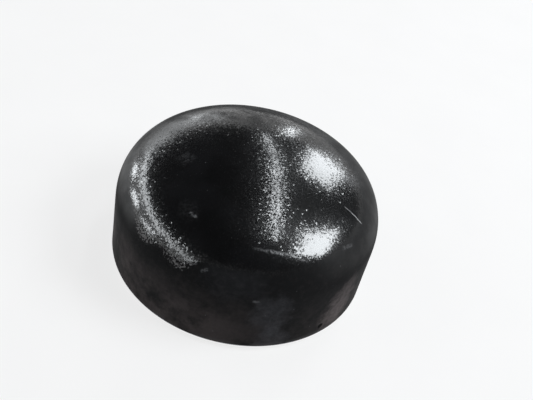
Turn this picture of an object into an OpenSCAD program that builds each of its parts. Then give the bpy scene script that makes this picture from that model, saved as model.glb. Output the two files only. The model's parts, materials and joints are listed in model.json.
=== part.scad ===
// Butt-weld pipe cap: a dished steel pressing that closes the end of a pipe, under a film of black paint.
// The cap stands on its open end. Z runs up its axis, and z = 0 is the plane of the root face.

/* [Weld end] */
// Outside diameter of the pipe, and of the cap's bare skirt
pipe_od = 168.3; // [150:0.1:190]
// Wall thickness of the pressing, the same all over
wall = 7.11; // [5:0.01:11]
// Width of the flat root face, at the inner edge of the wall's end
root_face = 1.6; // [0.8:0.1:2.4]
// Angle of the weld bevel, from the plane of the end
bevel_angle = 37.5; // [30:0.5:45]

/* [Dome] */
// Height of the bare pressing, from the root face to the top of the crown
cap_h = 89; // [80:0.5:110]
// Inside radius of the crown, a part of a sphere on the cap's axis
crown_r = 138.7; // [120:0.1:170]
// Inside radius of the knuckle, the tight bend between the crown and the skirt
knuckle_r = 26.2; // [15:0.1:40]

/* [Paint] */
// Thickness of the dry paint on the outside
paint_t = 0.15; // [0.08:0.01:0.4]
// Height of the paint's lower edge above the outer edge of the weld bevel
paint_margin = 0.3; // [0:0.1:10]

/* [Hidden] */
$fn = 128;

// Weld end
bore_r = pipe_od / 2 - wall;
bevel_w = wall - root_face;
bevel_h = bevel_w * tan(bevel_angle);

// Dome: the crown's centre is on the axis, and the knuckle's is a ring round it, at the height where the
// straight skirt ends. Both arcs share the line through the two centres, so they meet in a smooth tangent.
crown_z = cap_h - wall - crown_r;
ring_r = bore_r - knuckle_r;
ring_rise = sqrt(pow(crown_r - knuckle_r, 2) - pow(ring_r, 2));
join_angle = atan2(ring_r, ring_rise);
// The knuckle stands this little proud of the crown, so that the two arcs cross and don't just touch
arc_lap = 0.0003;
skirt_h = crown_z + ring_rise + arc_lap;

// Reach of the cutting outlines, safely past every arc
far = 2 * (crown_r + wall + paint_t);

// Half section of everything inside the cap's bore surface once that surface is grown outwards: by 0 it is
// the hollow, by the wall it is the pressing's outside, and by the wall and the paint it is the painted outside.
module dish_section(grow) {
    join_r = ring_r + (knuckle_r + grow) * sin(join_angle);
    intersection() {
        square(far);
        union() {
            square([bore_r + grow, skirt_h]);
            translate([ring_r, skirt_h]) circle(r = knuckle_r + grow);
            intersection() {
                translate([0, crown_z]) circle(r = crown_r + grow);
                square([join_r, far]);
            }
        }
    }
}

// Section of the metal that the weld bevel takes off the outer corner of the wall's end
module bevel_section() {
    root_r = bore_r + root_face;
    slope = bevel_h / bevel_w;
    overrun = bevel_w;
    polygon([
        [root_r, 0],
        [root_r, -overrun],
        [root_r + bevel_w + overrun, -overrun],
        [root_r + bevel_w + overrun, bevel_h + overrun * slope],
    ]);
}

// The pressing: crown, knuckle and straight skirt of one thickness, with the weld bevel turned on its end
module cap_shell() {
    color("dimgray")
        rotate_extrude()
            difference() {
                dish_section(wall);
                dish_section(0);
                bevel_section();
            }
}

// The dry paint on the pressing's outside, which ends just above the bevel
module paint_film() {
    color("#141415")
        rotate_extrude()
            difference() {
                dish_section(wall + paint_t);
                dish_section(wall);
                square([far, bevel_h + paint_margin]);
            }
}

cap_shell();
paint_film();
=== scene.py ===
"""A black painted butt-weld pipe cap: its pressing, its coat of paint, and the studio it stands in."""
import json
import math

import bpy
from mathutils import Matrix, Vector


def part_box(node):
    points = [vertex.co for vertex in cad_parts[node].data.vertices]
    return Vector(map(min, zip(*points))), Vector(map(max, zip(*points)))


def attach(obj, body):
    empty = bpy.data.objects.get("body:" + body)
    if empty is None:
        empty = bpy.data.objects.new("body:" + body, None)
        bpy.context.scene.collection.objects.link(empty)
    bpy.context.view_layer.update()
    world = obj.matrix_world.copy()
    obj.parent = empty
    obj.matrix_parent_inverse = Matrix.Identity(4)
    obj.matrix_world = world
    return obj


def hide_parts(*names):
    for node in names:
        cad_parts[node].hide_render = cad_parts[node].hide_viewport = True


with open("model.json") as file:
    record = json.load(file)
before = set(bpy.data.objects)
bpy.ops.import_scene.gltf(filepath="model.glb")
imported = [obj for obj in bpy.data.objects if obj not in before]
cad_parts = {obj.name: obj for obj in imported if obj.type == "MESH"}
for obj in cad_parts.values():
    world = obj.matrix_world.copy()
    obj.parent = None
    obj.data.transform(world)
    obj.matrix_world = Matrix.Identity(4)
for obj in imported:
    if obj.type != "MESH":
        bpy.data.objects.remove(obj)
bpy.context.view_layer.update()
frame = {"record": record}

MM = 0.001

# Sizes of the cap, in metres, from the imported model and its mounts
mounts = {mount["name"]: mount for mount in frame["record"]["mounts"]}
_, shell_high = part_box("cap_shell")
film_low, film_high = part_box("paint_film")
bore_r = mounts["pipe_bore"]["dims"]["r_mm"] * MM
skirt_h = mounts["pipe_bore"]["dims"]["length_mm"] * MM
pipe_r = shell_high.x
cap_h = shell_high.z
wall = pipe_r - bore_r
paint_t = film_high.x - pipe_r
paint_edge_z = film_low.z

# Weld end: the root face is the flat ring next to the bore, and the bevel leaves it at an angle
root_face = 2 * (mounts["weld_root_face"]["pos_m"][0] - bore_r)
BEVEL_ANGLE = math.radians(37.5)
bevel_w = wall - root_face
bevel_h = bevel_w * math.tan(BEVEL_ANGLE)

# Dome: the knuckle is this share of the bore, and the crown follows from the height that is left
KNUCKLE_SHARE = 0.17
knuckle_r = KNUCKLE_SHARE * 2 * bore_r
ring_r = bore_r - knuckle_r
dome_h = cap_h - wall - skirt_h
crown_r = (dome_h ** 2 - knuckle_r ** 2 + ring_r ** 2) / (2 * (dome_h - knuckle_r))
crown_z = cap_h - wall - crown_r

# Fineness of the meshes
COLUMNS = 320
DISH_ROWS = 130
INSIDE_ROWS = 100
GROOVE_ROWS = 4

# Unevenness of the pressing and of its paint
BEND_SOFTNESS = 14 * MM
RIPPLE_DEPTH = 0.12 * MM
RIPPLE_LENGTH = 45 * MM
RIPPLE_FADE = 12 * MM
PAINT_THIN = 0.45
PAINT_CLOUD = 14 * MM
PAINT_WAVER = 0.9 * MM
WAVER_LENGTH = 9 * MM
WAVER_FADE = 6 * MM
GROOVE_PITCH = 0.45 * MM
GROOVE_DEPTH = 0.02 * MM


def place_outside(turn, height):
    """A place on the cap's outside, and the way out of the surface there.

    The turn is in degrees about +Z from +X, and the height is in millimetres.
    """
    way = Vector((math.cos(math.radians(turn)), math.sin(math.radians(turn)), 0.0))
    z = height * MM
    up = Vector((0.0, 0.0, z))
    if z <= skirt_h:
        return way * pipe_r + up, way
    outer_r = knuckle_r + wall
    centre = way * ring_r + Vector((0.0, 0.0, skirt_h))
    radius = ring_r + math.sqrt(max(outer_r ** 2 - (z - skirt_h) ** 2, 0.0))
    join_z = skirt_h + outer_r * (skirt_h - crown_z) / (crown_r - knuckle_r)
    if z > join_z:
        centre = Vector((0.0, 0.0, crown_z))
        radius = math.sqrt((crown_r + wall) ** 2 - (z - crown_z) ** 2)
    place = way * radius + up
    return place, (place - centre).normalized()


# Middle of a noise, which is taken off so that it pushes both ways alike
NOISE_MIDDLE = 0.5


class Wire:
    """One value in a node tree. Arithmetic on it adds the tree's Math nodes."""

    def __init__(self, tree, socket=None):
        self.tree = tree
        self.socket = socket

    @staticmethod
    def pick(sockets, key):
        """The socket in use that has this name or identifier."""
        return next(s for s in sockets if s.enabled and key in (s.name, s.identifier))

    def node(self, kind, settings=None, inputs=None, output=None):
        """Add a node: its settings come first, then a value or a wire for each named input."""
        made = self.tree.nodes.new(kind)
        for name, value in (settings or {}).items():
            setattr(made, name, value)
        for key, value in (inputs or {}).items():
            target = made.inputs[key] if isinstance(key, int) else self.pick(made.inputs, key)
            for part in value if isinstance(value, list) else [value]:
                if isinstance(part, Wire):
                    self.tree.links.new(part.socket, target)
                else:
                    target.default_value = part
        if not made.outputs:
            return Wire(self.tree)
        if output is None:
            return Wire(self.tree, next(s for s in made.outputs if s.enabled))
        return Wire(self.tree, self.pick(made.outputs, output))

    def out(self, name):
        """Another output of the node that this value comes from."""
        return Wire(self.tree, self.pick(self.socket.node.outputs, name))

    def math(self, operation, *values):
        """A Math node on these values, or on this one alone."""
        inputs = dict(enumerate(values or (self,)))
        return self.node("ShaderNodeMath", {"operation": operation}, inputs)

    def __add__(self, other):
        return self.math("ADD", self, other)

    def __radd__(self, other):
        return self.math("ADD", other, self)

    def __sub__(self, other):
        return self.math("SUBTRACT", self, other)

    def __rsub__(self, other):
        return self.math("SUBTRACT", other, self)

    def __mul__(self, other):
        return self.math("MULTIPLY", self, other)

    def __rmul__(self, other):
        return self.math("MULTIPLY", other, self)

    def __truediv__(self, other):
        return self.math("DIVIDE", self, other)

    def __rtruediv__(self, other):
        return self.math("DIVIDE", other, self)

    def smooth(self, start, end):
        """0 below start, 1 above end, with a soft rise between them."""
        inputs = {"Value": self, "From Min": start, "From Max": end}
        return self.node("ShaderNodeMapRange", {"interpolation_type": "SMOOTHSTEP"}, inputs)

    def part(self, axis):
        """One of the three parts of a vector."""
        return self.node("ShaderNodeSeparateXYZ", inputs={"Vector": self}, output=axis)

    def span(self, low, high):
        """This share, from 0 to 1, spread from low to high."""
        return low + (high - low) * self

    def noise(self, length, detail=2.0, roughness=0.5):
        """Cloudy noise from 0 to 1 at this place, with clouds about this long."""
        inputs = {"Vector": self, "Scale": 1 / length, "Detail": detail, "Roughness": roughness}
        return self.node("ShaderNodeTexNoise", inputs=inputs, output="Fac")

    def sway(self, length, reach):
        """Cloudy noise about 0 at this place, with clouds about this long, that spans this reach."""
        return (self.noise(length) - NOISE_MIDDLE) * reach

    def vector(self, operation, *others):
        """A Vector Math node on this vector and any others."""
        inputs = dict(enumerate((self, *others)))
        output = "Value" if operation in ("DOT_PRODUCT", "DISTANCE") else "Vector"
        return self.node("ShaderNodeVectorMath", {"operation": operation}, inputs, output)

    def between(self, first, second):
        """The mix of two colours by this value: the first at 0 and the second at 1."""
        inputs = {"Factor": self, "A": first, "B": second}
        return self.node("ShaderNodeMix", {"data_type": "RGBA"}, inputs, "Result")


def new_tree(name, floats, integers):
    """A Geometry Nodes tree with these named inputs, and its inputs as wires."""
    tree = bpy.data.node_groups.new(name, "GeometryNodeTree")
    for label in floats:
        tree.interface.new_socket(label, in_out="INPUT", socket_type="NodeSocketFloat")
    for label in integers:
        tree.interface.new_socket(label, in_out="INPUT", socket_type="NodeSocketInt")
    tree.interface.new_socket("Geometry", in_out="OUTPUT", socket_type="NodeSocketGeometry")
    entry = tree.nodes.new("NodeGroupInput")
    return Wire(tree), {label: Wire(tree, entry.outputs[label]) for label in (*floats, *integers)}


def end_tree(geometry):
    """Make this geometry the tree's output."""
    geometry.node("NodeGroupOutput", inputs={"Geometry": geometry})
    return geometry.tree


def turned_grid(start, size):
    """A flat grid for turning about the axis: it, and the column, row and angle of each of its points."""
    inputs = {"Vertices X": size["Columns"] + 1, "Vertices Y": size["Rows"]}
    grid = start.node("GeometryNodeMeshGrid", inputs=inputs, output="Mesh")
    index = start.node("GeometryNodeInputIndex")
    column = ((index + 0.5) / size["Rows"]).math("FLOOR")
    row = index - column * size["Rows"]
    angle = column / size["Columns"] * (2 * math.pi)
    return grid, column, row, angle


def turned_position(radius, angle, height):
    """The place at this radius, angle and height."""
    inputs = {"X": radius * angle.math("COSINE"), "Y": radius * angle.math("SINE"), "Z": height}
    return radius.node("ShaderNodeCombineXYZ", inputs=inputs)


WELD_DISTANCE = 1e-6


def welded(geometry):
    """The geometry with its seams and poles closed."""
    return geometry.node("GeometryNodeMergeByDistance",
                         inputs={"Geometry": geometry, "Distance": WELD_DISTANCE})


SHEET_SIZES = ["Radius", "Top", "Low Edge", "Skirt Top", "Knuckle Radius", "Crown Radius",
               "Bend Softness", "Ripple Depth", "Ripple Length", "Edge Waver"]
GRID_SIZES = ["Rows", "Columns"]


def bent_by(run, start, softness):
    """How far a bend of one radian per unit has turned, if it fades in over a length around its start."""
    share = run.node("ShaderNodeClamp", inputs={"Value": (run - start) / softness + 0.5})
    cube = share * share * share
    rest = run - start - softness / 2
    return (cube - cube * share / 2) * softness + rest.math("MAXIMUM", rest, 0.0)


def dished_sheet_tree():
    """Tree of one face of the dish: straight skirt, knuckle and crown, turned about the axis.

    The bend fades in and out of the knuckle, as it does in a pressing. So the outline is summed up from
    its slope, step by step, and drawn out by the last fraction of a millimetre to its radius and height.
    """
    start, size = new_tree("dished_sheet", SHEET_SIZES, GRID_SIZES)
    grid, column, row, angle = turned_grid(start, size)
    radius, knuckle, crown = size["Radius"], size["Knuckle Radius"], size["Crown Radius"]
    join = ((radius - knuckle) / (crown - knuckle)).math("ARCSINE")
    skirt_run = size["Skirt Top"] - size["Low Edge"]
    knuckle_run = knuckle * (math.pi / 2 - join)
    step = (skirt_run + knuckle_run + crown * join) / (size["Rows"] - 1)
    run = (row + 0.5) * step
    lean = (bent_by(run, skirt_run, size["Bend Softness"]) / knuckle
            + bent_by(run, skirt_run + knuckle_run, size["Bend Softness"]) * (1 / crown - 1 / knuckle))
    stride = start.node("ShaderNodeCombineXYZ", inputs={"X": lean.math("SINE"), "Z": lean.math("COSINE")})
    walked = start.node("GeometryNodeAccumulateField", {"data_type": "FLOAT_VECTOR"},
                        {"Value": stride, "Group ID": column}, "Trailing")
    reach = start.node("GeometryNodeAttributeStatistic", {"data_type": "FLOAT_VECTOR"},
                       {"Geometry": grid, "Attribute": walked}, "Max")
    inward = radius * (1 - walked.part("X") / reach.part("X"))
    rise = (size["Top"] - size["Low Edge"]) * walked.part("Z") / reach.part("Z")
    edge_fade = 1 - rise.smooth(0.0, WAVER_FADE)
    edge = turned_position(radius, angle, size["Low Edge"])
    waver = edge.noise(WAVER_LENGTH, detail=4.0) * size["Edge Waver"] * edge_fade
    place = turned_position(inward, angle, size["Low Edge"] + rise + waver)
    sheet = welded(start.node("GeometryNodeSetPosition", inputs={"Geometry": grid, "Position": place}))
    here = start.node("GeometryNodeInputPosition")
    fade = here.part("Z").smooth(size["Low Edge"], size["Low Edge"] + RIPPLE_FADE)
    depth = here.noise(size["Ripple Length"], detail=1.0) * size["Ripple Depth"] * fade
    inset = start.node("GeometryNodeInputNormal").vector("MULTIPLY", 0 - depth)
    return end_tree(start.node("GeometryNodeSetPosition", inputs={"Geometry": sheet, "Offset": inset}))


def turned_ring_tree():
    """Tree of one straight-sided ring on the lathe-turned end, with the tool's fine grooves round it."""
    start, size = new_tree("turned_ring", ["Inner Radius", "Inner Height", "Outer Radius", "Outer Height",
                                           "Grooves", "Groove Depth"], GRID_SIZES)
    grid, _, row, angle = turned_grid(start, size)
    share = row / (size["Rows"] - 1)
    across = size["Outer Radius"] - size["Inner Radius"]
    up = size["Outer Height"] - size["Inner Height"]
    width = (across * across + up * up).math("SQRT")
    wave = (share * size["Grooves"] * math.pi).math("SINE")
    cut = wave * wave * size["Groove Depth"]
    radius = size["Inner Radius"] + across * share - up / width * cut
    height = size["Inner Height"] + up * share + across / width * cut
    place = turned_position(radius, angle, height)
    return end_tree(start.node("GeometryNodeSetPosition", inputs={"Geometry": grid, "Position": place}))


def group(start, tree, values):
    """A node group in a tree, with values or wires on its named inputs."""
    return start.node("GeometryNodeGroup", {"node_tree": tree}, values)


SHARP_ANGLE = math.radians(25)


def finished(parts, material):
    """The parts as one closed mesh, smooth but for its real corners, in this material."""
    start = parts[0]
    joined = welded(start.node("GeometryNodeJoinGeometry", inputs={"Geometry": parts}))
    smooth = start.node("GeometryNodeSetShadeSmooth", {"domain": "FACE"}, {"Geometry": joined})
    angle = start.node("GeometryNodeInputMeshEdgeAngle", output="Unsigned Angle")
    corner = start.node("FunctionNodeCompare", {"operation": "GREATER_THAN"},
                        {"A": angle, "B": SHARP_ANGLE})
    creased = start.node("GeometryNodeSetShadeSmooth", {"domain": "EDGE"},
                         {"Geometry": smooth, "Selection": corner, "Shade Smooth": False})
    real = start.node("GeometryNodeRealizeInstances", inputs={"Geometry": creased})
    return start.node("GeometryNodeSetMaterial", inputs={"Geometry": real, "Material": material})


def flipped(mesh):
    """The mesh turned inside out, for the inner face of a wall."""
    return mesh.node("GeometryNodeFlipFaces", inputs={"Mesh": mesh})


def made_piece(name, tree, values):
    """A plain mesh object of what the tree makes from these values."""
    piece = bpy.data.objects.new(name, bpy.data.meshes.new(name))
    bpy.context.scene.collection.objects.link(piece)
    modifier = piece.modifiers.new(name, "NODES")
    modifier.node_group = tree
    for item in tree.interface.items_tree:
        if item.in_out == "INPUT":
            modifier[item.identifier] = values[item.name]
    evaluated = piece.evaluated_get(bpy.context.evaluated_depsgraph_get())
    mesh = bpy.data.meshes.new_from_object(evaluated)
    piece.modifiers.clear()
    piece.data = mesh
    mesh.name = name
    return piece


def dish_values(grow, top, low_edge):
    """Sizes of the dish's face that lies this far outside the bore's face."""
    return {"Radius": bore_r + grow, "Top": top, "Low Edge": low_edge, "Skirt Top": skirt_h,
            "Knuckle Radius": knuckle_r + grow, "Crown Radius": crown_r + grow,
            "Bend Softness": BEND_SOFTNESS, "Ripple Depth": RIPPLE_DEPTH, "Ripple Length": RIPPLE_LENGTH,
            "Edge Waver": 0.0, "Rows": DISH_ROWS, "Columns": COLUMNS}


def groove_values(width):
    """The grooves on a turned ring this wide, and a mesh fine enough for them."""
    grooves = round(width / GROOVE_PITCH)
    return {"Grooves": float(grooves), "Groove Depth": GROOVE_DEPTH,
            "Rows": grooves * GROOVE_ROWS + 1, "Columns": COLUMNS}


def pressed_shell(dished_sheet, turned_ring, material):
    """The steel pressing: its two faces, and the bevel and root face that are turned on its end."""
    start, _ = new_tree("pressed_shell", [], [])
    outside = group(start, dished_sheet, dish_values(wall, cap_h, bevel_h))
    inside = group(start, dished_sheet, {**dish_values(0.0, cap_h - wall, 0.0), "Rows": INSIDE_ROWS})
    root_r = bore_r + root_face
    bevel = group(start, turned_ring, {
        **groove_values(math.hypot(bevel_w, bevel_h)),
        "Inner Radius": root_r, "Outer Radius": pipe_r, "Outer Height": bevel_h})
    root = group(start, turned_ring, {
        **groove_values(root_face), "Inner Radius": bore_r, "Outer Radius": root_r})
    tree = end_tree(finished([outside, flipped(inside), bevel, root], material))
    return made_piece("pressed_shell", tree, {})


def paint_coat(dished_sheet, material):
    """The dry paint: a skin grown outwards from the pressing, thicker and thinner in soft clouds."""
    start, size = new_tree("paint_coat", ["Thickness", "Thin Share", "Cloud Length"], [])
    values = {**dish_values(wall, cap_h, paint_edge_z), "Edge Waver": PAINT_WAVER}
    under = group(start, dished_sheet, values)
    here = start.node("GeometryNodeInputPosition")
    thickness = size["Thickness"] * here.noise(size["Cloud Length"]).span(size["Thin Share"], 1.0)
    over = start.node("GeometryNodeExtrudeMesh", {"mode": "FACES"},
                      {"Mesh": under, "Offset Scale": thickness, "Individual": False}, "Mesh")
    tree = end_tree(finished([over, flipped(under)], material))
    return made_piece("paint_coat", tree, {"Thickness": paint_t, "Thin Share": PAINT_THIN,
                                           "Cloud Length": PAINT_CLOUD})


def new_material(name):
    """An empty node material: it, and a wire to start its nodes from."""
    material = bpy.data.materials.new(name)
    material.use_nodes = True
    material.node_tree.nodes.clear()
    return material, Wire(material.node_tree)


def end_material(shader):
    """Make this shader the material's surface."""
    shader.node("ShaderNodeOutputMaterial", inputs={"Surface": shader})


# Middle of a colour that is random by cell or by place
MIDDLE_COLOUR = (NOISE_MIDDLE, NOISE_MIDDLE, NOISE_MIDDLE)

# Grains in the paint: how wide they are, how they are turned and how far the steepest lean. Its orange peel:
# how high it stands, and how long its fine relief and its swells are
GRAIN_CELL = 0.75 * MM
GRAIN_TURN = (0.55, 0.35, 0.8)
GRAIN_LEAN = 0.28
PEEL_HEIGHT = 0.05 * MM
PEEL_LENGTH = 1.6 * MM
SWELL_LENGTH = 4.0 * MM


def askew(here):
    """This place turned out of line with the axes, so that no row of grains shows."""
    return here.node("ShaderNodeMapping", inputs={"Vector": here, "Rotation": GRAIN_TURN})


def orange_peel(here):
    """Relief of the paint, about 0 to 1: fine peel on longer swells."""
    turned = askew(here)
    return (turned.noise(PEEL_LENGTH, detail=1.0) + turned.noise(SWELL_LENGTH, detail=1.0)) / 2


def grain_lean(here):
    """How the paint leans over each grain under it: hardly over most of them, and steeply over a few."""
    cell = here.node("ShaderNodeTexVoronoi", {"feature": "F1"},
                     {"Vector": askew(here), "Scale": 1 / GRAIN_CELL}, "Color")
    lean = cell.vector("SUBTRACT", MIDDLE_COLOUR)
    return lean.vector("MULTIPLY", lean.vector("DOT_PRODUCT", lean) * GRAIN_LEAN)


# Marks on the paint: the turn and height of each end, the width in millimetres, and how plain it shows
SCRATCHES = (
    ((-20.6, 76), (-20.1, 74), 0.6, 0.4),
    ((-20, 73.8), (-19, 68.8), 0.7, 0.65),
)
SCUFFS = (
    ((-81, 70.8), (-70, 70), 1.6, 0.5),
    ((-75, 70.2), (-63, 69), 1.7, 0.8),
    ((-65, 69.2), (-57, 65.6), 1.6, 0.4),
    ((-117, 74.2), (-112.5, 74), 1.6, 0.9),
    ((-100.5, 55.2), (-98, 57.8), 1.8, 0.6),
    ((-78.5, 43.5), (-75.5, 44), 1.8, 0.8),
    ((-37.5, 65.8), (-31.5, 64.8), 2.2, 0.5),
)
# Soft patches of pale dust on the glossy crown, as the marks
SMUDGES = (
    ((-124, 74.8), (-113, 74), 7, 0.1),
    ((-157, 81), (-150, 82), 6, 0.2),
    ((-1, 78), (9, 75), 8, 0.45),
)
# Painted reflections of the surroundings on the skirt, in soft patches given as the marks: cool ones in
# front, pink on the right
COOL_REFLECTION_PATCHES = (
    ((-67, 4), (-67, 20), 13, 0.34),
    ((-68, 20), (-72, 44), 15, 0.33),
    ((-98, 56), (-76, 50), 15, 0.13),
)
PINK_REFLECTION_PATCHES = (
    ((-40, 4), (-31, 40), 15, 0.75),
    ((-46, 18), (-30, 20), 11, 0.3),
)
# Where a stroke fades, in shares of its width and of its length, and how it wobbles
STROKE_SIDES = (0.2, 0.8)
STROKE_ENDS = (0.35, 0.65)
WOBBLE_LENGTH = 4 * MM
WOBBLE_REACH = 1.2 * MM
# Flecks that break up the scuffs and smudges, and how far the smudges stray from their places
FLECK_LENGTH = 1.3 * MM
SCUFF_FLECKS = (0.3, 0.6)
SMUDGE_FLECKS = (0.35, 0.65)
SMUDGE_CLOUD = 5 * MM
SMUDGE_STRAY = 12 * MM
# A small pit low on the skirt with painted shade in it, how wide it is, and where its sides fade in shares
# of that
PIT_PLACE, _ = place_outside(-44, 11.2)
PIT_R = 2.5 * MM
PIT_SIDES = (0.6, 1.0)
# Depth of the scratches and of the pit, in heights of the orange peel
SCRATCH_DEPTH = 0.6
PIT_DEPTH = 4


def ends_of(first, second):
    """Middle of two places on the outside, the way from one to the other, and the way across it."""
    (start, start_way), (end, end_way) = place_outside(*first), place_outside(*second)
    along = end - start
    return (start + end) / 2, along, along.cross(start_way + end_way).normalized()


def stroke(here, wobble, first, second, width):
    """1 along a stroke between two places on the outside, and 0 elsewhere. Its sides and ends are soft."""
    middle, along, sideways = ends_of(first, second)
    across = (here.vector("SUBTRACT", middle).vector("DOT_PRODUCT", sideways) + wobble).math("ABSOLUTE")
    beside = (across / (width * MM)).smooth(*STROKE_SIDES)
    beyond = (here.vector("DISTANCE", middle) / along.length).smooth(*STROKE_ENDS)
    return (1 - beside) * (1 - beyond)


def marks(here, wobble, strokes):
    """All of these strokes together, each as plain as it says."""
    return sum(stroke(here, wobble, first, second, width) * plain
               for first, second, width, plain in strokes)


def patch(here, first, second, width):
    """1 in the middle of a soft patch between two places on the outside, fading out all round it."""
    middle, along, sideways = ends_of(first, second)
    away = here.vector("SUBTRACT", middle)
    across = away.vector("DOT_PRODUCT", sideways) / (width * MM)
    lengthwise = away.vector("DOT_PRODUCT", along.normalized()) / (along.length / 2 + width * MM / 2)
    return 1 - (across * across + lengthwise * lengthwise).smooth(0.0, 1.0)


def patches(here, places):
    """All of these patches together, each as plain as it says."""
    return sum(patch(here, first, second, width) * plain for first, second, width, plain in places)


def astray(here, length, reach):
    """This place moved about by cloudy noise, to give what is drawn there an uneven edge."""
    drift = here.noise(length, detail=5.0, roughness=0.65).out("Color").vector("SUBTRACT", MIDDLE_COLOUR)
    return here.vector("ADD", drift.vector("MULTIPLY", (reach, reach, reach)))


# Where the cap's axis meets the floor
ORIGIN = (0, 0, 0)


def level_distance(here, centre):
    """How far this place is from an upright line through a centre on the floor."""
    return here.vector("MULTIPLY", (1, 1, 0)).vector("DISTANCE", centre)


# Where the paint landed wet and dried glossy: on the top out to a radius, and above an edge that rises to
# the back and is lower on the left, where speckled runs of wet paint go below it
WET_CENTRE = Vector((-2, -20, 0)) * MM
WET_R = (64 * MM, 80 * MM)
WET_Z = (66.4 * MM, 69.2 * MM)
WET_RISE = 0.15
WET_LEFT_DROP = 5.8 * MM
WET_LEFT_X = (-26 * MM, -10 * MM)
# How far the wet paint's edge strays, in long clouds and in fine spots
WET_CLOUD = 20 * MM
WET_STRAY = 3 * MM
WET_SPOT = 1.2 * MM
WET_RAGGED = 8 * MM
# The runs, as the marks, and how the same spots break them up
WET_RUNS = (
    ((-138, 60.5), (-123, 56), 9, 0.85),
    ((-118, 56.5), (-105, 54), 8, 0.44),
)
RUN_BREAK = 0.8 * MM
RUN_EDGE = (0.35, 0.85)


def wet_share(here, height):
    """1 where the paint dried glossy, fading to 0 where it landed as dry spray."""
    ragged = here.sway(WET_SPOT, WET_RAGGED)
    uneven = here.sway(WET_CLOUD, WET_STRAY) + ragged
    out = level_distance(here, WET_CENTRE) + uneven
    edge = here.part("Y") * WET_RISE + here.part("X").smooth(*WET_LEFT_X) * WET_LEFT_DROP
    side = (height - edge + uneven).smooth(*WET_Z)
    run = (patches(here, WET_RUNS) * (1 + ragged / RUN_BREAK)).smooth(*RUN_EDGE)
    return (1 - out.smooth(*WET_R)) * side.math("MAXIMUM", side, run)


# Grit: how much there is on dry spray and on wet paint, and how much more of it low on the left, away from
# the front and in it
GRIT_SHARE = (0.2, 1.0)
GRIT_LEFT_X = (0.0, -45 * MM)
GRIT_LEFT_Z = (70 * MM, 82 * MM)
GRIT_LEFT_GAIN = (0.35, 1.15)
GRIT_FRONT_Y = (-60 * MM, -74 * MM)


def grit_share(here, height, wet):
    """How gritty the paint is: more so where it landed wet, and most of all low on the left in front."""
    left = here.part("X").smooth(*GRIT_LEFT_X) * (1 - height.smooth(*GRIT_LEFT_Z))
    front = here.part("Y").smooth(*GRIT_FRONT_Y)
    return wet.span(*GRIT_SHARE) * (1 + left * front.span(*GRIT_LEFT_GAIN))


# Sheen of the dry spray: it sets in with height and from the front to the sides, in clouds. The back keeps
# only part of it, and more of that on the right. The left in front keeps all of it, and the rest keeps most
SHEEN_Z = (47 * MM, 62 * MM)
SHEEN_Y = (-75 * MM, -45 * MM)
SHEEN_BACK_Y = (0.0, 50 * MM)
SHEEN_BACK_KEPT = 0.34
SHEEN_RIGHT_X = (-20 * MM, 40 * MM)
SHEEN_RIGHT_SPARED = 0.75
SHEEN_LEFT_X = (0.0, -50 * MM)
SHEEN_LEFT_Y = (-20 * MM, 20 * MM)
SHEEN_OFF_LEFT_KEPT = 0.72
SHEEN_CLOUD = 16 * MM
SHEEN_CLOUD_EDGE = (0.3, 0.7)
SHEEN_CLOUD_SHARES = (0.6, 1.2)


def sheen_share(here, height):
    """How much sheen the dry spray has: in soft clouds high on the sides, less at the back on the left."""
    forth = here.part("Y")
    left = here.part("X").smooth(*SHEEN_LEFT_X) * (1 - forth.smooth(*SHEEN_LEFT_Y))
    right = here.part("X").smooth(*SHEEN_RIGHT_X)
    behind = forth.smooth(*SHEEN_BACK_Y) * (1 - SHEEN_RIGHT_SPARED * right)
    kept = behind.span(1.0, SHEEN_BACK_KEPT) * left.span(SHEEN_OFF_LEFT_KEPT, 1.0)
    clouds = here.noise(SHEEN_CLOUD, detail=4.0).smooth(*SHEEN_CLOUD_EDGE)
    return height.smooth(*SHEEN_Z) * forth.smooth(*SHEEN_Y) * kept * clouds.span(*SHEEN_CLOUD_SHARES)


# Smears on the gloss at the back on the left: where they set in, their clouds, and how much gloss they take
SMEAR_Y = (0.0, 35 * MM)
SMEAR_X = (15 * MM, -10 * MM)
SMEAR_CLOUD = 12 * MM
SMEAR_EDGE = (0.42, 0.6)
SMEAR_LOSS = 0.55


def smear_share(here):
    """1 where smears dull the gloss, in soft clouds at the back on the left, and 0 elsewhere."""
    behind = here.part("Y").smooth(*SMEAR_Y) * here.part("X").smooth(*SMEAR_X)
    return behind * here.noise(SMEAR_CLOUD, detail=3.0).smooth(*SMEAR_EDGE)


# Warm blotches on the dry spray, dust and a painted reflection of a warm floor: low down, less so on the
# right, with speckles all over
DRY_BLACK = (0.0098, 0.0098, 0.0102, 1)
WARM_DUST_AND_REFLECTION = (0.06, 0.0505, 0.05, 1)
BLOTCH_LENGTH = 26 * MM
SPECKLE_LENGTH = 3.5 * MM
SPECKLE_DEPTH = 0.5
WARM_Z = (14 * MM, 52 * MM)
WARM_BLOTCH = (0.3, 0.62)
WARM_RIGHT_X = (-25 * MM, 45 * MM)
WARM_RIGHT_KEPT = 0.2
# The patches of painted reflection: their colours, how far they stray from their places, and how speckles
# break them up
COOL_REFLECTION_TINT = (0.085, 0.085, 0.094, 1)
PINK_REFLECTION_TINT = (0.10, 0.084, 0.083, 1)
PATCH_CLOUD = 10 * MM
PATCH_STRAY = 24 * MM
PATCH_SPECKLE = (0.3, 0.7)
PATCH_SHARES = (0.5, 1.0)
# Dust along the lower edge of the paint: how far above it, in which blotches, and how much
EDGE_DUST = (0.075, 0.073, 0.073, 1)
EDGE_DUST_Z = (0.5 * MM, 4 * MM)
EDGE_BLOTCH = (0.42, 0.58)
EDGE_DUST_SHARE = 0.5


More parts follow.
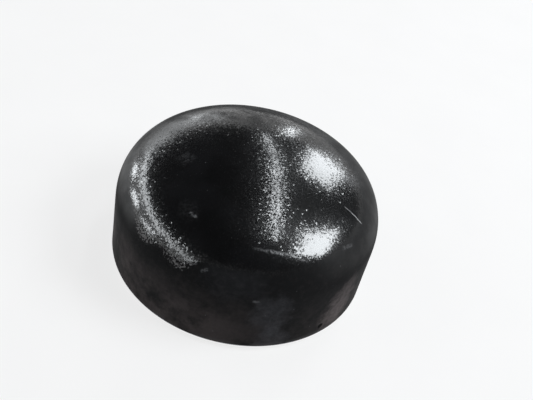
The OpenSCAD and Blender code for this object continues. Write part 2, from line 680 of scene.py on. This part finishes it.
def dry_colour(here, height):
    """Colour of the dry spray: black, with dust and a painted reflection of a warm floor low down, and
    painted reflections in a few pale patches.
    """
    blotch = here.noise(BLOTCH_LENGTH, detail=6.0, roughness=0.65)
    speckle = here.noise(SPECKLE_LENGTH, detail=5.0, roughness=0.7)
    right = here.part("X").smooth(*WARM_RIGHT_X)
    low = 1 - height.smooth(*WARM_Z)
    # Warm blotches low down: dust, with a painted reflection of a warm floor
    warm = low * right.span(1.0, WARM_RIGHT_KEPT) * blotch.smooth(*WARM_BLOTCH)
    dust_and_reflection = (warm + (speckle - NOISE_MIDDLE) * SPECKLE_DEPTH).between(DRY_BLACK, WARM_DUST_AND_REFLECTION)
    strayed = astray(here, PATCH_CLOUD, PATCH_STRAY)
    broken = speckle.smooth(*PATCH_SPECKLE).span(*PATCH_SHARES)
    # Painted reflections in pale patches: cool in front and pink on the right
    cool = (patches(strayed, COOL_REFLECTION_PATCHES) * broken).between(dust_and_reflection, COOL_REFLECTION_TINT)
    pink = (patches(strayed, PINK_REFLECTION_PATCHES) * broken).between(cool, PINK_REFLECTION_TINT)
    edge = 1 - (height - paint_edge_z).smooth(*EDGE_DUST_Z)
    return (edge * blotch.smooth(*EDGE_BLOTCH) * EDGE_DUST_SHARE).between(pink, EDGE_DUST)


# Single specks of dust: one to a cell, their size in cells, and which of the cells have one
SPECK_CELL = 7.0 * MM
SPECK_SIZE = (0.03, 0.075)
SPECK_CHANCE = (0.5, 0.6)


def dust_specks(here):
    """1 on single specks of pale dust, well apart, and 0 elsewhere."""
    cell = here.node("ShaderNodeTexVoronoi", {"feature": "F1"}, {"Vector": here, "Scale": 1 / SPECK_CELL})
    return (1 - cell.smooth(*SPECK_SIZE)) * cell.out("Color").part("X").smooth(*SPECK_CHANCE)


# Wet paint and its haze
WET_BLACK = (0.0024, 0.0024, 0.0026, 1)
HAZED_BLACK = (0.0052, 0.0052, 0.0058, 1)
HAZE_LENGTH = 22 * MM
HAZE_EDGE = (0.4, 0.7)
# Colours of the marks, how much of them scuffs and specks take on, and how much rougher the marks are
RUBBED_GREY = (0.16, 0.16, 0.165, 1)
SCRATCHED_GREY = (0.42, 0.42, 0.42, 1)
# The pit's near black is painted shade, darker than the paint round it
PIT_SHADE_BLACK = (0.001, 0.001, 0.001, 1)
SCUFF_PALE = 0.6
SPECK_PALE = 0.35
SCUFF_WEAR = 0.25
SCRATCH_WEAR = 0.2
# Finishes: the roughness where there is no haze and where it is full, and how strongly they mirror
GLOSSY = ((0.09, 0.15), 1.0)
HAZY = ((0.28, 0.28), 1.0)
DULL = ((0.4, 0.56), 0.32)
CHALKY = ((0.5, 0.66), 0.02)
# Share of the hazy finish in the wet paint
HAZY_SHARE = 0.28


def black_enamel():
    """Black paint: glossy and gritty where it landed wet on the dome, dull down the skirt with dust and
    painted reflections.
    """
    material, start = new_material("black_enamel")
    here = start.node("ShaderNodeTexCoord", output="Object")
    height = here.part("Z")
    haze = here.noise(HAZE_LENGTH, detail=4.0)
    fleck = here.noise(FLECK_LENGTH)
    wobble = here.sway(WOBBLE_LENGTH, WOBBLE_REACH)
    wet = wet_share(here, height)
    scratched = marks(here, wobble, SCRATCHES)
    smudged = patches(astray(here, SMUDGE_CLOUD, SMUDGE_STRAY), SMUDGES) * fleck.smooth(*SMUDGE_FLECKS)
    scuffed = marks(here, wobble, SCUFFS) * fleck.smooth(*SCUFF_FLECKS) + smudged
    pit = 1 - (here.vector("DISTANCE", PIT_PLACE) / PIT_R).smooth(*PIT_SIDES)
    gritty = grit_share(here, height, wet)
    relief = orange_peel(here) * gritty - scratched * SCRATCH_DEPTH - pit * PIT_DEPTH
    swelling = start.node("ShaderNodeBump", inputs={
        "Strength": 1.0, "Distance": PEEL_HEIGHT, "Height": relief})
    leaning = swelling.vector("ADD", grain_lean(here).vector("MULTIPLY", gritty))
    normal = leaning.vector("NORMALIZE")
    black = haze.smooth(*HAZE_EDGE).between(WET_BLACK, HAZED_BLACK)
    coloured = wet.between(dry_colour(here, height), black)
    rubbed = (scuffed * SCUFF_PALE + dust_specks(here) * SPECK_PALE).between(coloured, RUBBED_GREY)
    marked = scratched.between(rubbed, SCRATCHED_GREY)
    # Painted shade in the pit
    colour = pit.between(marked, PIT_SHADE_BLACK)
    wear = scuffed * SCUFF_WEAR + scratched * SCRATCH_WEAR
    glossy, hazy, dull, chalky = (
        start.node("ShaderNodeBsdfPrincipled", inputs={
            "Base Color": colour, "Normal": normal, "Roughness": haze.span(*roughness) + wear,
            "Specular IOR Level": mirror})
        for roughness, mirror in (GLOSSY, HAZY, DULL, CHALKY))
    bright = start.node("ShaderNodeMixShader", inputs={0: HAZY_SHARE, 1: glossy, 2: hazy})
    matt = start.node("ShaderNodeMixShader", inputs={0: sheen_share(here, height), 1: chalky, 2: dull})
    gloss = wet * (1 - SMEAR_LOSS * smear_share(here))
    end_material(start.node("ShaderNodeMixShader", inputs={0: gloss, 1: matt, 2: bright}))
    return material


# Where the steel was turned on the lathe: below the bevel's top and outside the bore
TURNED_Z = (bevel_h - 0.02 * MM, bevel_h + 0.02 * MM)
TURNED_R = (bore_r + 0.02 * MM, bore_r + 0.06 * MM)
# Mill scale, rust and turned steel: their colours, their clouds, and where the rust sets in
SCALE_COLOURS = ((0.045, 0.047, 0.053, 1), (0.11, 0.112, 0.12, 1))
SCALE_LENGTH = 9 * MM
SCALE_EDGE = (0.3, 0.7)
RUST_COLOUR = (0.13, 0.062, 0.033, 1)
RUST_LENGTH = 26 * MM
RUST_EDGE = (0.52, 0.7)
RUST_SHARE = 0.7
TURNED_COLOURS = ((0.24, 0.24, 0.245, 1), (0.36, 0.36, 0.36, 1))
TURNED_LENGTH = 3 * MM
# Pitting of the scale, and how high the rust stands on it
PITTING_LENGTH = 1.6 * MM
PITTING_DEPTH = 0.06 * MM
RUST_RELIEF = 0.5
# Roughness, and how metallic each of them is
SCALE_ROUGHNESS = (0.5, 0.75)
RUST_ROUGHER = 0.15
TURNED_ROUGHNESS = 0.3
SCALE_METALLIC = 0.55
RUST_LESS_METALLIC = 0.5
TURNED_MORE_METALLIC = 0.4


def pressed_steel():
    """Bare steel: dark mill scale with a bloom of rust, and bright metal where the end was turned."""
    material, start = new_material("pressed_steel")
    here = start.node("ShaderNodeTexCoord", output="Object")
    end = 1 - here.part("Z").smooth(*TURNED_Z)
    turned = level_distance(here, ORIGIN).smooth(*TURNED_R) * end
    haze = here.noise(SCALE_LENGTH, detail=5.0)
    scale = haze.smooth(*SCALE_EDGE).between(*SCALE_COLOURS)
    bloom = here.noise(RUST_LENGTH, detail=6.0, roughness=0.65).smooth(*RUST_EDGE)
    rusty = (bloom * RUST_SHARE).between(scale, RUST_COLOUR)
    bright = here.noise(TURNED_LENGTH, detail=4.0).between(*TURNED_COLOURS)
    pitting = (here.noise(PITTING_LENGTH, detail=3.0) + bloom * RUST_RELIEF) * (1 - turned)
    normal = start.node("ShaderNodeBump", inputs={
        "Strength": 1.0, "Distance": PITTING_DEPTH, "Height": pitting})
    rough = haze.span(*SCALE_ROUGHNESS) + bloom * RUST_ROUGHER
    metallic = SCALE_METALLIC - bloom * RUST_LESS_METALLIC + turned * TURNED_MORE_METALLIC
    steel = start.node("ShaderNodeBsdfPrincipled", inputs={
        "Base Color": turned.between(rusty, bright), "Metallic": metallic,
        "Roughness": turned.span(rough, TURNED_ROUGHNESS), "Normal": normal})
    end_material(steel)
    return material


# Studio paper: its white, its faint clouds, and the distances over which it greys, in metres from the cap
PAPER_BLACK = (0, 0, 0, 1)
PAPER_WHITE = (0.82, 0.82, 0.82, 1)
PAPER_ROUGHNESS = 0.95
PAPER_CLOUD = 60 * MM
PAPER_CLOUD_SHARES = (0.97, 1.0)
GREYING_R = (0.7, 2.4)
# How much it greys at the back and in front, and where the one goes over into the other
GREYING = (0.55, 0.85)
GREYING_FRONT_Y = (2.0, -2.0)
# Its own white, the share of it that the camera and mirror-like paint see, and where they see it in full
GLOW_WHITE = (1, 1, 1, 1)
FLOOR_GLOW = 0.78
FULL_GLOW_R = (0.5, 1.3)


def pale_floor():
    """Plain pale studio paper, white round the cap and greyer up the backdrop, most of all in front."""
    material, start = new_material("pale_floor")
    here = start.node("ShaderNodeTexCoord", output="Object")
    away = here.vector("DISTANCE", ORIGIN)
    front = here.part("Y").smooth(*GREYING_FRONT_Y)
    clouds = here.noise(PAPER_CLOUD, detail=3.0).span(*PAPER_CLOUD_SHARES)
    pale = (1 - away.smooth(*GREYING_R) * front.span(*GREYING)) * clouds
    paper = start.node("ShaderNodeBsdfPrincipled", inputs={
        "Base Color": pale.between(PAPER_BLACK, PAPER_WHITE),
        "Roughness": PAPER_ROUGHNESS, "Specular IOR Level": 0.0})
    white = start.node("ShaderNodeEmission", inputs={
        "Color": pale.between(PAPER_BLACK, GLOW_WHITE), "Strength": 1.0})
    path = start.node("ShaderNodeLightPath")
    seen = path.out("Is Camera Ray") + path.out("Is Glossy Ray") + path.out("Is Transmission Ray")
    shown = seen.math("MINIMUM", seen, 1.0) * away.smooth(*FULL_GLOW_R).span(FLOOR_GLOW, 1.0)
    end_material(start.node("ShaderNodeMixShader", inputs={0: shown, 1: paper, 2: white}))
    return material


# Studio floor and backdrop, in metres
COVE_FLOOR_R = 2.2
COVE_BEND_R = 0.5
COVE_WALL_H = 1.0
COVE_SIDES = 96
COVE_BEND_STEPS = 10


def studio_cove(material):
    """Floor and backdrop in one: a round floor that curves up into a low wall."""
    outline = [(COVE_FLOOR_R + COVE_BEND_R * math.sin(a), COVE_BEND_R * (1 - math.cos(a)))
               for a in (math.pi / 2 * i / COVE_BEND_STEPS for i in range(COVE_BEND_STEPS + 1))]
    outline.append((COVE_FLOOR_R + COVE_BEND_R, COVE_WALL_H))
    points = [(0.0, 0.0, 0.0)]
    for radius, height in outline:
        for i in range(COVE_SIDES):
            a = 2 * math.pi * i / COVE_SIDES
            points.append((radius * math.cos(a), radius * math.sin(a), height))
    faces = [(0, 1 + i, 1 + (i + 1) % COVE_SIDES) for i in range(COVE_SIDES)]
    for ring in range(len(outline) - 1):
        low = 1 + ring * COVE_SIDES
        for i in range(COVE_SIDES):
            j = (i + 1) % COVE_SIDES
            faces.append((low + i, low + COVE_SIDES + i, low + COVE_SIDES + j, low + j))
    mesh = bpy.data.meshes.new("studio_cove")
    mesh.from_pydata(points, [], faces)
    mesh.polygons.foreach_set("use_smooth", [True] * len(mesh.polygons))
    mesh.materials.append(material)
    cove = bpy.data.objects.new("studio_cove", mesh)
    bpy.context.scene.collection.objects.link(cove)


# Lamps: what they face, their colour, and the dim even light from above the backdrop
LIGHT_CENTRE = Vector((0.0, 0.0, cap_h / 2))
LAMP_COLOUR = (0.93, 0.97, 1.0)
WORLD_COLOUR = (0.018, 0.018, 0.019, 1)
# Each lamp: the azimuth and elevation of both its ends, its distance, its width and its radiance
LAMPS = (
    ("back_right_box", (18.1, 31), (32.6, 27), 1.6, 0.61, 8.2),
    ("right_box", (71.5, 50), (111.5, 35.8), 1.6, 0.66, 11.6),
    ("back_small_box", (6.3, 7.9), (5.1, 18.4), 1.7, 0.068, 9.3),
    ("overhead_strip", (33, 68.2), (114, 71.8), 1.5, 0.05, 17.5),
    ("overhead_strip_middle", (8.6, 47.4), (33, 68.2), 1.5, 0.05, 13.0),
    ("overhead_strip_end", (-2, 25.6), (8.6, 47.4), 1.5, 0.05, 7.0),
    ("left_strip", (-133, 13.2), (-48, 18.8), 1.6, 0.15, 6.0),
    ("left_strip_back", (-48, 18.2), (-34, 17.6), 1.6, 0.19, 1.15),
    ("left_strip_end", (-156, 1), (-132, 12.6), 1.6, 0.2, 3.6),
    ("back_left_small_box", (-22.2, 7.2), (-19.4, 4.8), 1.8, 0.07, 3.2),
    ("back_left_box", (-48, 12), (-14, 6), 1.9, 0.45, 0.84),
    ("left_box_0", (-107, -1.2), (-107, 4.2), 1.8, 0.46, 10.0),
    ("left_box_1", (-82.6, -1), (-82.6, 7.7), 1.8, 0.4, 10.0),
    ("left_box_2", (-61.3, 0.9), (-61.3, 9.8), 1.8, 0.27, 10.0),
)


def direction(azimuth, elevation):
    """Unit vector this many degrees round from +Y towards +X, and up from level."""
    a, e = math.radians(azimuth), math.radians(elevation)
    return Vector((math.sin(a) * math.cos(e), math.cos(a) * math.cos(e), math.sin(e)))


def softbox(name, first, second, distance, width, radiance):
    """A bar of light facing the cap, between two directions given by azimuth and elevation."""
    ends = [LIGHT_CENTRE + direction(*pointing) * distance for pointing in (first, second)]
    middle = (ends[0] + ends[1]) / 2
    along = (ends[1] - ends[0]).normalized()
    back = (middle - LIGHT_CENTRE).normalized()
    lamp = bpy.data.lights.new(name, "AREA")
    lamp.shape = "RECTANGLE"
    lamp.size, lamp.size_y = (ends[1] - ends[0]).length, width
    lamp.energy = radiance * math.pi * lamp.size * lamp.size_y
    lamp.color = LAMP_COLOUR
    holder = bpy.data.objects.new(name, lamp)
    bpy.context.scene.collection.objects.link(holder)
    turn = Matrix((along, back.cross(along), back)).transposed()
    holder.matrix_world = Matrix.Translation(middle) @ turn.to_4x4()


def studio_light():
    """The lamps, and a dim even light from above the backdrop."""
    for lamp in LAMPS:
        softbox(*lamp)
    world = bpy.data.worlds.new("studio")
    world.use_nodes = True
    world.node_tree.nodes["Background"].inputs["Color"].default_value = WORLD_COLOUR
    bpy.context.scene.world = world


# Camera: where it stands, how far it looks down and leans over, its lens, and how near and far it sees
CAMERA_PLACE = Vector((10.51, -357.3, 346.75)) * MM
CAMERA_DOWN = math.radians(39.83)
CAMERA_ROLL = math.radians(14.02)
CAMERA_LENS = 49.28
CAMERA_SENSOR = 36.0
CAMERA_CLIP = (0.01, 50.0)


def photo_camera():
    """The camera at the reference view."""
    lens = bpy.data.cameras.new("camera")
    lens.lens, lens.sensor_width = CAMERA_LENS, CAMERA_SENSOR
    lens.clip_start, lens.clip_end = CAMERA_CLIP
    camera = bpy.data.objects.new("camera", lens)
    bpy.context.scene.collection.objects.link(camera)
    tilt = Matrix.Rotation(math.pi / 2 - CAMERA_DOWN, 4, "X")
    camera.matrix_world = Matrix.Translation(CAMERA_PLACE) @ tilt @ Matrix.Rotation(CAMERA_ROLL, 4, "Z")
    bpy.context.scene.camera = camera


bpy.context.scene.view_settings.view_transform = "Standard"
photo_camera()
studio_light()
studio_cove(pale_floor())
dished_sheet = dished_sheet_tree()
turned_ring = turned_ring_tree()
enamel = black_enamel()
shell = pressed_shell(dished_sheet, turned_ring, pressed_steel())
coat = paint_coat(dished_sheet, enamel)
for piece, node, slot in ((shell, "cap_shell", "bare_steel"), (coat, "paint_film", "black_paint")):
    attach(piece, "root")
    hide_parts(node)
